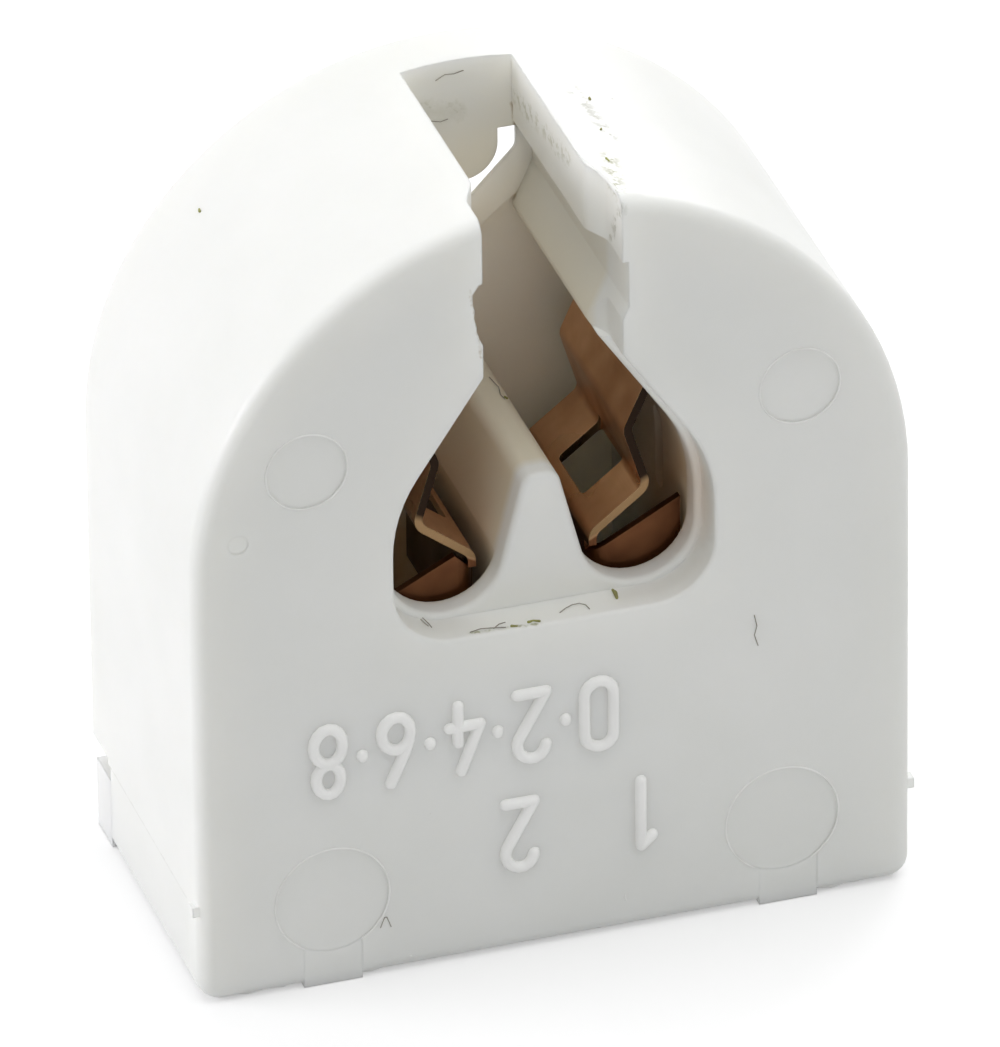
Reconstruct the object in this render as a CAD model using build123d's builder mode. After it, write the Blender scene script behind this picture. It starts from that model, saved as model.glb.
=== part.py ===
from build123d import *
import os

# Miniature two-pin holder for a slim fluorescent tube, standing on its base.
# Millimetres. +X to the right, +Y to the back, +Z up. The front face looks along -Y.
# The origin is the middle of the footprint, on the surface the holder stands on.
# Depths are counted backwards from the front face.

# Outer body
width = 17.8
body_height = 20.25
body_depth = 8.8
shell_wall = 1.15
floor_wall = 1.2
front_edge_radius = 0.4
rear_edge_radius = 0.15
base_corner_radius = 0.55

# Shallow round marks of the ejector pins; the lower two run out to the base in a tab
upper_mark_radius = 1.0
upper_mark_from_side = 2.82
upper_mark_above_pins = 3.75
lower_mark_radius = 1.42
lower_mark_from_side = 3.28
lower_mark_height = 2.33
tab_width = 1.45
right_tab_offset = 0.16
mark_sink = 0.05
tab_sink = 0.025
dot_radius = 0.25
dot_from_side = 1.12
dot_above_pins = 2.08

# Parting line low on the sides, ending in a small nub at each front corner
parting_height = 2.4
parting_inset = 0.06
parting_start = 0.9
nub_proud = 0.12
nub_start = 0.2
nub_length = 0.3
nub_height = 0.26

# Lamp pins, and the guide wall with one round-bottomed hole for each pin
pin_pitch = 4.75
pins_below_top = 9.77
pin_hole_radius = 1.42
guide_wall = 0.6
guide_rim_radius = 0.15

# Divider between the pin holes, with a rounded nose
divider_nose_above_pins = 1.94
divider_nose_half_width = 0.42
divider_nose_radius = 0.36
divider_shoulder_below_pins = 0.28
divider_skirt_below_pins = 2.88
divider_foot_half_width = 0.5

# Well in the front wall, with the neck that the lamp pins pass down through
well_depth = 1.0
well_margin = 0.175
well_floor_below_pins = 1.55
well_corner_radius = 1.5
well_edge_radius = 0.1
flare_above_pins = 2.07
flare_radius = 3.7
neck_widening = 0.34
neck_below_lip = 0.22
neck_taper_gap = 0.16
neck_taper_length = 0.65
neck_taper_radius = 0.5

# Slot across the arch, with a groove and a sloping lip along each side
slot_half_width = 1.38
groove_sink = 0.49
groove_below_top = 1.85
groove_height = 1.2
lip_drop = 1.1
guide_neck_below_lip = 0.1
slot_block_half_width = 2.95

# Place where the front end of the left groove is broken out, from the groove's upper corner
chip_depth = 0.45
chip_outline = [
    (0.27, 0.13),
    (0.05, 0.06),
    (-0.02, -0.06),
    (-0.1, -0.16),
    (-0.09, -0.45),
    (-0.04, -0.62),
    (-0.07, -0.8),
    (0.02, -1.1),
    (0.06, -1.42),
    (0.27, -1.75),
]

# Window at the back of the slot, and the tongue that hangs down into it
end_wall_height = 2.05
tongue_half_width = 1.02
tongue_length = 1.27
tongue_corner_radius = 0.9
tongue_thickness = 0.8
tongue_gap = 0.45

# Walls of the pin chambers, with a relief slot in each
chamber_margin = 0.055
chamber_wall = 0.8
chamber_wall_above_pins = 3.17
relief_width = 0.6
relief_depth = 3.85
relief_below_pins = 0.73
relief_height = 2.2

# Rear cover, with a rib behind the slot and a foot in each lower corner of the body
cover_thickness = 1.3
cover_rebate = 0.75
cover_clearance = 0.05
cover_edge_chamfer = 0.12
cover_rib = 0.2
cover_rib_half_width = 2.6
cover_rib_drop = 1.29
cover_rib_rise = 2.16
cover_rib_tip_radius = 0.5
cutout_drop = 0.51
cutout_foot_half_width = 0.3
cutout_rise = 1.2
cutout_radius = 0.3
cutout_land = 0.1
cutout_side_draft = 0.36
cutout_floor_draft = 0.7
corner_notch_height = 2.56
corner_notch_width = 1.85
foot_height = 1.85
foot_inset = 0.08

# Contacts: springy strip, folded in the XZ plane; places on the right one, from its lamp pin
strip_thickness = 0.2
strip_front_gap = 0.15
strip_rear_gap = 0.2
leaf_rear_gap = 0.7
bend_radius = 0.34
leaf_inner_place = (-0.875, -0.4)
leaf_fold_place = (0.485, 0.65)
arm_bulge_place = (-0.005, 2.27)
arm_top_x = 0.555
crown_above_wall = 0.33
block_above_wall = 0.7
flange_foot_below_pins = 3.18
leaf_window_front = 3.08
leaf_window_rear = 4.93
leaf_window_inner_x = -0.695
leaf_window_outer_x = 0.405
leaf_window_radius = 0.12

# Blade folded across the front of each contact, just behind the guide wall
blade_outer_x = 1.305
blade_foot_below_pins = 2.78
blade_stub = 0.9
blade_reach = 3.0
right_blade_top = [(-1.1, -1.07), (1.6, 0.37)]
left_blade_top = [(-1.1, -0.88), (-0.83, -0.76), (-0.45, -0.36), (0.93, -1.06), (1.6, -1.4)]

# Push-in wire clamps at the outer ends of the contacts, and the holes in the base that serve them
leg_gap = 0.12
clamp_side_gap = 0.33
clamp_turn_height = 3.4
clamp_tip_rise = 2.8
clamp_tip_gap = 0.43
clamp_slit = 0.3
clamp_slit_foot = 0.5
clamp_window_margin = 0.28
clamp_window_radius = 0.15
clamp_bridge = 0.7
wire_hole_radius = 0.8
wire_hole_lead = 0.2

# How far cutting shapes run past the faces that they cut
overrun = 1.0

# Places worked out from the sizes above
arch_radius = width / 2
arch_centre_height = body_height - arch_radius
front_y = -body_depth / 2
guide_depth = well_depth + guide_wall
cover_face_depth = body_depth - cover_thickness
rebate_depth = cover_face_depth - cover_clearance
slot_end_depth = cover_face_depth - cover_rib
pin_x = pin_pitch / 2
pin_height = body_height - pins_below_top
guide_half_width = pin_x + pin_hole_radius
well_half_width = guide_half_width + well_margin
chamber_half_width = guide_half_width + chamber_margin
well_floor_height = pin_height - well_floor_below_pins
divider_nose_height = pin_height + divider_nose_above_pins
divider_shoulder_height = pin_height - divider_shoulder_below_pins
divider_shoulder_half_width = pin_x - (pin_hole_radius**2 - divider_shoulder_below_pins**2) ** 0.5
divider_skirt_height = pin_height - divider_skirt_below_pins
groove_half_width = slot_half_width + groove_sink
groove_top_height = body_height - groove_below_top
groove_foot_height = groove_top_height - groove_height
lip_height = groove_foot_height - lip_drop
neck_half_width = slot_half_width + neck_widening
neck_taper_start = well_depth + neck_taper_gap
neck_taper_end = neck_taper_start + neck_taper_length
neck_foot_height = lip_height - neck_below_lip
guide_neck_height = lip_height - guide_neck_below_lip
flare_foot_height = pin_height + flare_above_pins
flare_slope = (neck_foot_height - flare_foot_height) / (well_half_width - neck_half_width)
window_top_height = body_height - end_wall_height
tongue_foot_height = window_top_height - tongue_length
cutout_half_width = tongue_half_width + tongue_gap
cutout_foot_height = tongue_foot_height - cutout_drop
cutout_shoulder_height = cutout_foot_height + cutout_rise
cover_rib_foot_height = cutout_foot_height - cover_rib_drop
chamber_wall_outer_x = chamber_half_width + chamber_wall
chamber_wall_top = pin_height + chamber_wall_above_pins
slot_block_foot_height = chamber_wall_top + block_above_wall
relief_centre_height = pin_height - relief_below_pins + relief_height / 2
foot_inner_x = arch_radius - corner_notch_width + cover_clearance
foot_outer_x = arch_radius - foot_inset
tab_x = arch_radius - lower_mark_from_side
strip_front_depth = guide_depth + strip_front_gap
strip_rear_depth = cover_face_depth - strip_rear_gap
leaf_rear_depth = strip_rear_depth - leaf_rear_gap
leg_x = chamber_wall_outer_x + leg_gap + strip_thickness / 2
clamp_outer_x = arch_radius - shell_wall - clamp_side_gap - strip_thickness / 2
clamp_tip_x = leg_x + strip_thickness + clamp_tip_gap
clamp_floor_height = floor_wall + strip_thickness / 2
wire_x = (leg_x + clamp_outer_x) / 2
wire_spacing = (strip_rear_depth - strip_front_depth) / 2
wire_y = front_y + (strip_rear_depth + strip_front_depth) / 2


def at_depth(depth):
    """A sketch plane that faces the front, this far behind the front face."""
    return Plane.XZ.offset(-(front_y + depth))


def arch_outline(inset):
    """The arched outline of the body, moved inwards on every side."""
    Rectangle(2 * (arch_radius - inset), arch_centre_height - inset, align=(Align.CENTER, Align.MAX))
    Circle(arch_radius - inset)


def cutout_outline(widening, lowering):
    """Outline of the cut-out round the tongue, with slanted lower corners."""
    side_x = cutout_half_width + widening
    foot_x = cutout_foot_half_width + widening
    with BuildLine() as outline:
        Polyline(
            (side_x, body_height),
            (side_x, cutout_shoulder_height - lowering),
            (foot_x, cutout_foot_height - lowering),
            (-foot_x, cutout_foot_height - lowering),
            (-side_x, cutout_shoulder_height - lowering),
            (-side_x, body_height),
            close=True,
        )
    make_face(outline.edges())
    fillet(vertices().group_by(Axis.Y)[0] + vertices().group_by(Axis.Y)[1], radius=cutout_radius)


def flared_outline(neck_x, side_x, top_height, neck_height, foot_height, corner_radius):
    """A neck that flares out downwards to straight sides, with rounded lower corners."""
    flare_end = neck_height - flare_slope * (side_x - neck_x)
    with BuildLine() as outline:
        Polyline(
            (neck_x, top_height),
            (neck_x, neck_height),
            (side_x, flare_end),
            (side_x, foot_height),
            (-side_x, foot_height),
            (-side_x, flare_end),
            (-neck_x, neck_height),
            (-neck_x, top_height),
            close=True,
        )
    make_face(outline.edges())
    fillet([v for v in vertices() if abs(v.Y - flare_end) < 0.001], radius=flare_radius)
    if corner_radius > 0:
        fillet([v for v in vertices() if abs(v.Y - foot_height) < 0.001], radius=corner_radius)


def divider_sides(mode):
    """Section of the divider between the pin holes, with a rounded nose."""
    with BuildLine() as outline:
        Polyline(
            (divider_nose_half_width, divider_nose_height),
            (divider_shoulder_half_width, divider_shoulder_height),
            (divider_shoulder_half_width, divider_skirt_height),
            (-divider_shoulder_half_width, divider_skirt_height),
            (-divider_shoulder_half_width, divider_shoulder_height),
            (-divider_nose_half_width, divider_nose_height),
            close=True,
        )
    make_face(outline.edges(), mode=mode)
    nose = [v for v in vertices() if abs(v.Y - divider_nose_height) < 0.001 and abs(v.X) < pin_x]
    fillet(nose, radius=divider_nose_radius)


with BuildPart() as housing:
    # Solid arched body
    with BuildSketch(at_depth(0)):
        with Locations((0, arch_centre_height)):
            arch_outline(0)
        fillet(vertices().group_by(Axis.Y)[0], radius=base_corner_radius)
    extrude(amount=-body_depth)
    fillet(housing.faces().sort_by(Axis.Y)[0].edges(), radius=front_edge_radius)
    fillet(housing.faces().sort_by(Axis.Y)[-1].edges(), radius=rear_edge_radius)
    with BuildSketch(Plane.XY):
        with Locations((-tab_x, front_y), (tab_x + right_tab_offset, front_y)):
            Rectangle(tab_width, front_edge_radius, align=(Align.CENTER, Align.MIN))
    extrude(amount=front_edge_radius)

    # Sides below the parting line, and the nubs at its front ends
    with BuildSketch(Plane.XY):
        with Locations((0, front_y + parting_start)):
            Rectangle(width + overrun, body_depth, align=(Align.CENTER, Align.MIN))
            Rectangle(
                width - 2 * parting_inset, body_depth, align=(Align.CENTER, Align.MIN), mode=Mode.SUBTRACT
            )
    extrude(amount=parting_height, mode=Mode.SUBTRACT)
    with BuildSketch(Plane.XY.offset(parting_height)):
        with Locations((0, front_y + nub_start)):
            Rectangle(width + 2 * nub_proud, nub_length, align=(Align.CENTER, Align.MIN))
    extrude(amount=nub_height)

    # Inside, hollowed from the back around the slot block and the chamber walls
    with BuildSketch(at_depth(guide_depth)):
        with Locations((0, arch_centre_height)):
            arch_outline(shell_wall)
        Rectangle(width, floor_wall, align=(Align.CENTER, Align.MIN), mode=Mode.SUBTRACT)
        with Locations((0, slot_block_foot_height)):
            Rectangle(
                2 * slot_block_half_width, body_height, align=(Align.CENTER, Align.MIN), mode=Mode.SUBTRACT
            )
        Rectangle(
            2 * chamber_wall_outer_x,
            chamber_wall_top,
            align=(Align.CENTER, Align.MIN),
            mode=Mode.SUBTRACT,
        )
    extrude(amount=-(rebate_depth - guide_depth), mode=Mode.SUBTRACT)

    # Pin chambers behind the guide wall
    with BuildSketch(at_depth(guide_depth)):
        flared_outline(
            slot_half_width, chamber_half_width, lip_height, guide_neck_height, floor_wall, 0
        )
    extrude(amount=-(rebate_depth - guide_depth), mode=Mode.SUBTRACT)

    # Well in the front wall
    with BuildSketch(at_depth(0)):
        flared_outline(
            neck_half_width,
            well_half_width,
            body_height + overrun,
            neck_foot_height,
            well_floor_height,
            well_corner_radius,
        )
    extrude(amount=-well_depth, mode=Mode.SUBTRACT)
    well_rim = (
        housing.edges(Select.LAST)
        .filter_by_position(Axis.Y, front_y - 0.01, front_y + 0.01)
        .filter_by_position(Axis.Z, well_floor_height - 0.01, neck_foot_height + 0.01)
    )
    fillet(well_rim, radius=well_edge_radius)

    # Opening of the guide wall: two pin holes that meet above the divider
    with BuildSketch(at_depth(well_depth)):
        flared_outline(
            slot_half_width, guide_half_width, body_height + overrun, guide_neck_height, pin_height, 0
        )
        with Locations((-pin_x, pin_height), (pin_x, pin_height)):
            Circle(pin_hole_radius)
        with Locations((0, pin_height)):
            Rectangle(2 * pin_x, divider_shoulder_below_pins, align=(Align.CENTER, Align.MAX))
        divider_sides(Mode.SUBTRACT)
    extrude(amount=-guide_wall, mode=Mode.SUBTRACT)
    guide_rim = (
        housing.edges(Select.LAST)
        .filter_by_position(Axis.Y, front_y + well_depth - 0.01, front_y + well_depth + 0.01)
        .filter_by_position(Axis.Z, pin_height - pin_hole_radius - 0.01, guide_neck_height + 0.01)
    )
    fillet(guide_rim, radius=guide_rim_radius)

    # Divider behind the guide wall, and its foot down to the floor
    with BuildSketch(at_depth(guide_depth)):
        divider_sides(Mode.ADD)
        Rectangle(2 * divider_foot_half_width, divider_skirt_height, align=(Align.CENTER, Align.MIN))
    extrude(amount=-(rebate_depth - guide_depth))

    # Slot across the arch, wider where it passes through the front wall
    with BuildSketch(Plane.XY.offset(neck_foot_height)):
        with BuildLine():
            Polyline(
                (neck_half_width, front_y - overrun),
                (neck_half_width, front_y + neck_taper_start),
                (slot_half_width, front_y + neck_taper_end),
                (slot_half_width, front_y + slot_end_depth),
                (-slot_half_width, front_y + slot_end_depth),
                (-slot_half_width, front_y + neck_taper_end),
                (-neck_half_width, front_y + neck_taper_start),
                (-neck_half_width, front_y - overrun),
                close=True,
            )
        make_face()
        fillet(
            [v for v in vertices() if front_y < v.Y < front_y + neck_taper_end + 0.01],
            radius=neck_taper_radius,
        )
    extrude(amount=body_height, mode=Mode.SUBTRACT)

    # Groove along both sides of the slot, with the sloping lip under it
    with BuildSketch(at_depth(-overrun)):
        with BuildLine():
            Polyline(
                (groove_half_width, groove_top_height),
                (groove_half_width, groove_foot_height),
                (slot_half_width, lip_height),
                (-slot_half_width, lip_height),
                (-groove_half_width, groove_foot_height),
                (-groove_half_width, groove_top_height),
                close=True,
            )
        make_face()
    extrude(amount=-(slot_end_depth + overrun), mode=Mode.SUBTRACT)
    with BuildSketch(at_depth(-overrun)):
        with BuildLine():
            Polyline(*[(x - groove_half_width, z + groove_top_height) for x, z in chip_outline], close=True)
        make_face()
    extrude(amount=-(chip_depth + overrun), mode=Mode.SUBTRACT)

    # Opening for the rear cover, up to the end wall of the slot
    with BuildSketch(at_depth(rebate_depth)):
        with Locations((0, arch_centre_height)):
            arch_outline(cover_rebate)
        with Locations((0, window_top_height)):
            Rectangle(
                2 * slot_block_half_width, body_height, align=(Align.CENTER, Align.MIN), mode=Mode.SUBTRACT
            )
    extrude(amount=-body_depth, mode=Mode.SUBTRACT)
    with BuildSketch(at_depth(slot_end_depth)):
        with Locations((0, cover_rib_foot_height)):
            Rectangle(
                2 * slot_block_half_width,
                window_top_height - cover_rib_foot_height,
                align=(Align.CENTER, Align.MIN),
            )
    extrude(amount=-body_depth, mode=Mode.SUBTRACT)
    with BuildSketch(at_depth(rebate_depth)):
        with Locations((-arch_radius, 0), (arch_radius, 0)):
            Rectangle(2 * corner_notch_width, 2 * corner_notch_height)
    extrude(amount=-body_depth, mode=Mode.SUBTRACT)

    # Tongue at the back of the slot
    with BuildSketch(at_depth(slot_end_depth)):
        with Locations((0, tongue_foot_height)):
            Rectangle(
                2 * tongue_half_width,
                tongue_length + mark_sink,
                align=(Align.CENTER, Align.MIN),
            )
        fillet(vertices().group_by(Axis.Y)[0], radius=tongue_corner_radius)
    extrude(amount=-tongue_thickness)

    # Relief slots in the chamber walls
    for side in (-1, 1):
        with BuildSketch(Plane.YZ.offset(side * (chamber_half_width + chamber_wall / 2))):
            with Locations((front_y + relief_depth, relief_centre_height)):
                SlotOverall(relief_height, relief_width, rotation=90)
        extrude(amount=chamber_wall, both=True, mode=Mode.SUBTRACT)

    # Ejector marks, with the tabs below the lower two and a small dot beside the left ones
    with BuildSketch(at_depth(0)):
        upper_mark_x = arch_radius - upper_mark_from_side
        upper_mark_height = pin_height + upper_mark_above_pins
        with Locations((-upper_mark_x, upper_mark_height), (upper_mark_x, upper_mark_height)):
            Circle(upper_mark_radius)
        with Locations((-tab_x, lower_mark_height), (tab_x, lower_mark_height)):
            Circle(lower_mark_radius)
        with Locations((dot_from_side - arch_radius, pin_height + dot_above_pins)):
            Circle(dot_radius)
    extrude(amount=-mark_sink, mode=Mode.SUBTRACT)
    with BuildSketch(at_depth(0)):
        with Locations((-tab_x, 0), (tab_x + right_tab_offset, 0)):
            Rectangle(tab_width, lower_mark_height, align=(Align.CENTER, Align.MIN))
    extrude(amount=-tab_sink, mode=Mode.SUBTRACT)

    # Wire entries in the base
    with BuildSketch(Plane.XY):
        with Locations((-wire_x, wire_y), (wire_x, wire_y)):
            with GridLocations(0, wire_spacing, 1, 2):
                Circle(wire_hole_radius)
    extrude(amount=floor_wall, mode=Mode.SUBTRACT)
    wire_rims = (
        housing.edges()
        .filter_by(GeomType.CIRCLE)
        .filter_by_position(Axis.Z, -0.01, 0.01)
        .filter_by_position(Axis.Y, front_y + guide_depth, front_y + rebate_depth)
    )
    chamfer(wire_rims, length=wire_hole_lead)
housing.part.label = "housing"

with BuildPart() as rear_cover:
    # Plate, cut out round the tongue
    with BuildSketch(at_depth(cover_face_depth)):
        with Locations((0, arch_centre_height)):
            arch_outline(cover_rebate + cover_clearance)
        with Locations((0, window_top_height - cover_clearance)):
            Rectangle(
                2 * (slot_block_half_width + cover_clearance),
                body_height,
                align=(Align.CENTER, Align.MIN),
                mode=Mode.SUBTRACT,
            )
    extrude(amount=-cover_thickness)

    # Feet in the lower corners of the body
    with BuildSketch(at_depth(cover_face_depth)):
        with Locations((foot_outer_x, 0)):
            Rectangle(foot_outer_x - foot_inner_x, foot_height, align=(Align.MAX, Align.MIN))
        with Locations((-foot_outer_x, 0)):
            Rectangle(foot_outer_x - foot_inner_x, foot_height, align=(Align.MIN, Align.MIN))
    extrude(amount=-cover_thickness)
    rear_outline = rear_cover.faces().sort_by(Axis.Y)[-1].edges()
    chamfer(rear_outline, length=cover_edge_chamfer)

    # Rib that closes the back of the slot, pointed at the bottom
    with BuildSketch(at_depth(cover_face_depth)):
        rib_top = window_top_height - cover_clearance
        rib_side = cover_rib_foot_height + cover_rib_rise
        with BuildLine():
            Polyline(
                (0, cover_rib_foot_height),
                (cover_rib_half_width, rib_side),
                (cover_rib_half_width, rib_top),
                (-cover_rib_half_width, rib_top),
                (-cover_rib_half_width, rib_side),
                close=True,
            )
        make_face()
        fillet(vertices().sort_by(Axis.Y)[0], radius=cover_rib_tip_radius)
    extrude(amount=cover_rib)

    # Cut-out round the tongue, opening downwards and outwards to the back
    cutout_run = body_depth + overrun - slot_end_depth - cutout_land
    with BuildSketch(at_depth(0)):
        cutout_outline(0, 0)
    extrude(amount=-(slot_end_depth + cutout_land), mode=Mode.SUBTRACT)
    with BuildSketch(at_depth(slot_end_depth + cutout_land)):
        cutout_outline(0, 0)
    with BuildSketch(at_depth(body_depth + overrun)):
        cutout_outline(cutout_side_draft * cutout_run, cutout_floor_draft * cutout_run)
    loft(mode=Mode.SUBTRACT)
rear_cover.part.label = "rear_cover"


def folded(*points):
    """Centre line of a folded strip, with a rounded bend at every corner."""
    with BuildLine() as path:
        FilletPolyline(*points, radius=bend_radius)
    return path.line


def contact(side, blade_top):
    """One contact, for the left side when side is -1 and for the right side when it is 1."""

    def from_pin(place):
        return (side * (pin_x + place[0]), pin_height + place[1])

    crown = chamber_wall_top + crown_above_wall
    leaf_inner = from_pin(leaf_inner_place)
    leaf_fold = from_pin(leaf_fold_place)
    arm_top = (side * (pin_x + arm_top_x), crown)
    wire_window_x = clamp_outer_x - leg_x - 2 * clamp_window_margin

    with BuildPart() as piece:
        # Leg in the terminal compartment, turned up at its foot into the clamp springs
        with BuildSketch(at_depth(strip_front_depth)):
            leg = folded(
                (arm_top[0] + side * bend_radius, crown),
                (side * leg_x, crown),
                (side * leg_x, clamp_floor_height),
                (side * clamp_outer_x, clamp_floor_height),
                (side * clamp_outer_x, clamp_turn_height),
                (side * clamp_tip_x, clamp_turn_height + clamp_tip_rise),
            )
            trace(leg, line_width=strip_thickness)
        extrude(amount=-(strip_rear_depth - strip_front_depth))
        with BuildSketch(Plane.XY.offset(clamp_floor_height + clamp_slit_foot)):
            with Locations((side * arch_radius, wire_y)):
                Rectangle(2 * (arch_radius - leg_x - strip_thickness), clamp_slit)
        extrude(amount=clamp_turn_height + clamp_tip_rise, mode=Mode.SUBTRACT)
        with BuildSketch(Plane.XY):
            with Locations((side * wire_x, wire_y)):
                with GridLocations(0, wire_spacing, 1, 2):
                    RectangleRounded(wire_window_x, wire_spacing - clamp_bridge, clamp_window_radius)
        extrude(amount=floor_wall + 2 * strip_thickness, mode=Mode.SUBTRACT)

        # Springy arm and leaf that the lamp pin presses on, and the flange below the leaf
        with BuildSketch(at_depth(strip_front_depth)):
            arm = folded(
                (arm_top[0] + side * 2 * bend_radius, crown),
                arm_top,
                from_pin(arm_bulge_place),
                leaf_fold,
                leaf_inner,
                (leaf_inner[0], pin_height - flange_foot_below_pins),
            )
            trace(arm, line_width=strip_thickness)
        extrude(amount=-(leaf_rear_depth - strip_front_depth))
        window_x = pin_x + (leaf_window_inner_x + leaf_window_outer_x) / 2
        window_y = front_y + (leaf_window_front + leaf_window_rear) / 2
        with BuildSketch(Plane.XY.offset(leaf_inner[1] - strip_thickness)):
            with Locations((side * window_x, window_y)):
                RectangleRounded(
                    leaf_window_outer_x - leaf_window_inner_x,
                    leaf_window_rear - leaf_window_front,
                    leaf_window_radius,
                )
        extrude(amount=leaf_fold[1] - leaf_inner[1] + 2 * strip_thickness, mode=Mode.SUBTRACT)

        # Blade folded outwards from the front edge of the flange
        blade_foot = pin_height - blade_foot_below_pins
        blade_y = front_y + strip_front_depth + strip_thickness / 2
        with BuildSketch(Plane.XY.offset(blade_foot)):
            with Locations((leaf_inner[0], front_y + strip_front_depth)):
                Rectangle(2 * bend_radius, 2 * bend_radius)
        extrude(amount=leaf_inner[1] - bend_radius - blade_foot, mode=Mode.SUBTRACT)
        with BuildPart(mode=Mode.PRIVATE) as blade:
            with BuildSketch(Plane.XY.offset(blade_foot)):
                bend = folded(
                    (leaf_inner[0], blade_y + blade_stub),
                    (leaf_inner[0], blade_y),
                    (side * (pin_x + blade_outer_x), blade_y),
                )
                trace(bend, line_width=strip_thickness)
            extrude(amount=blade_reach)
            with BuildSketch(at_depth(0)):
                with BuildLine():
                    Polyline(
                        *[from_pin(place) for place in blade_top],
                        (from_pin(blade_top[-1])[0], blade_foot + 2 * blade_reach),
                        (from_pin(blade_top[0])[0], blade_foot + 2 * blade_reach),
                        close=True,
                    )
                make_face()
            extrude(amount=-body_depth, mode=Mode.SUBTRACT)
        add(blade.part)
    return piece.part


with BuildPart() as contact_right:
    add(contact(1, right_blade_top))
contact_right.part.label = "contact_right"

with BuildPart() as contact_left:
    add(contact(-1, left_blade_top))
contact_left.part.label = "contact_left"

os.makedirs("parts", exist_ok=True)
for piece in (housing, rear_cover, contact_left, contact_right):
    bb = piece.part.bounding_box()
    print(piece.part.label, piece.part.volume, bb.min, bb.max, len(piece.part.solids()), piece.part.is_valid)
    export_step(piece.part, "parts/" + piece.part.label + ".step")
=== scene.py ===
# %% [markdown]
# # A miniature tube lamp holder, dressed on its CAD frame
# The CAD model already has every real form of this small white holder: the arched body, the
# slot over its top, the well with two pin holes, the rear cover and two folded contacts.
# Here the frame is loaded and left where it is. What this file adds is light, the plastic
# and the bronze, the fine relief on the front and the dirt of long use.
# The box of the CAD model is measured before anything is added.

# %% Load the imported model
import math

import bmesh
import bpy
from mathutils import Matrix, Vector


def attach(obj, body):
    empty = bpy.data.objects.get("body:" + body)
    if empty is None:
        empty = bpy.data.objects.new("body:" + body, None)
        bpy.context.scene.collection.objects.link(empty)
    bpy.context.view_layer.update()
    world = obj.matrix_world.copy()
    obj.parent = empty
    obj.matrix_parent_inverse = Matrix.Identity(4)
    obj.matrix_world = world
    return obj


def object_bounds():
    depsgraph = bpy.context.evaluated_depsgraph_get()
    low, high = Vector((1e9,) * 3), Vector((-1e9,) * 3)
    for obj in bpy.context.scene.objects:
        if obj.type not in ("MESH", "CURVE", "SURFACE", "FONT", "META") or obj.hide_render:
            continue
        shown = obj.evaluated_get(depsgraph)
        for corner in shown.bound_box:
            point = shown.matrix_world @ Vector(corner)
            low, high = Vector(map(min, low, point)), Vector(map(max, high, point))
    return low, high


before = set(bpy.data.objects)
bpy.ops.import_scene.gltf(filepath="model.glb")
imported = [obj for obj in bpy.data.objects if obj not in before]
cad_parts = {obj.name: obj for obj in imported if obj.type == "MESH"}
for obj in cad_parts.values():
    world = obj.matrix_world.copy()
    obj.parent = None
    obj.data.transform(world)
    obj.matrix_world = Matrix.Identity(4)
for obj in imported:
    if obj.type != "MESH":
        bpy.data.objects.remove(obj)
cad_low, cad_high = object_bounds()
MM = 0.001
for node_name in sorted(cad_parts):
    print(node_name, "has", len(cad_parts[node_name].data.polygons), "faces")

# %% [markdown]
# ## The camera
# The holder was photographed from its left front and from above, with a long lens. The
# camera could be aimed by hand, but its angles were measured on the straight edges of the
# body, so they are written as numbers: round the object, above the floor, and a small roll.
# The lens length goes with a sensor whose long side is 36 mm.

# %% Set up the camera
CAMERA_ROUND = math.radians(17.70)
CAMERA_ABOVE = math.radians(31.15)
CAMERA_ROLL = math.radians(-0.63)
CAMERA_DISTANCE = 427.5 * MM
AIM = Vector((0.0, -0.30, 9.0)) * MM
SLIDE_RIGHT = -0.047 * MM
SLIDE_UP = 0.257 * MM
SENSOR_LONG_SIDE = 36.0
LENS_LENGTH = 619.0
NEAR_LIMIT = 0.01
FAR_LIMIT = 10.0

level_right = Vector((math.cos(CAMERA_ROUND), -math.sin(CAMERA_ROUND), 0.0))
towards_camera = Vector((
    -math.sin(CAMERA_ROUND) * math.cos(CAMERA_ABOVE),
    -math.cos(CAMERA_ROUND) * math.cos(CAMERA_ABOVE),
    math.sin(CAMERA_ABOVE),
))
level_up = towards_camera.cross(level_right)
camera_right = level_right * math.cos(CAMERA_ROLL) + level_up * math.sin(CAMERA_ROLL)
camera_up = level_up * math.cos(CAMERA_ROLL) - level_right * math.sin(CAMERA_ROLL)
camera_place = (
    AIM + towards_camera * CAMERA_DISTANCE + camera_right * SLIDE_RIGHT + camera_up * SLIDE_UP
)

bpy.ops.object.camera_add()
camera = bpy.context.object
camera.name = "photo_camera"
turn = Matrix((camera_right, camera_up, towards_camera)).transposed()
camera.matrix_world = Matrix.Translation(camera_place) @ turn.to_4x4()
camera.data.sensor_width = SENSOR_LONG_SIDE
camera.data.lens = LENS_LENGTH
camera.data.clip_start = NEAR_LIMIT
camera.data.clip_end = FAR_LIMIT
bpy.context.scene.camera = camera
bpy.context.scene.view_settings.view_transform = "Standard"
print("camera stands", round(camera_place.length / MM), "mm from the holder")

# %% [markdown]
# ## Light
# The photograph has a very broad soft light overhead, weaker ones on the left and from the
# right behind, and a pale room all round. No lamp stands before the front face, which is why
# the arch and the left side are bright and the front is a calm grey white. Three area lamps
# give this, and the world gives the room at a plain level. Only what the camera, a reflection
# or a see-through part looks at directly is pure white.

# %% Light the holder


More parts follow.
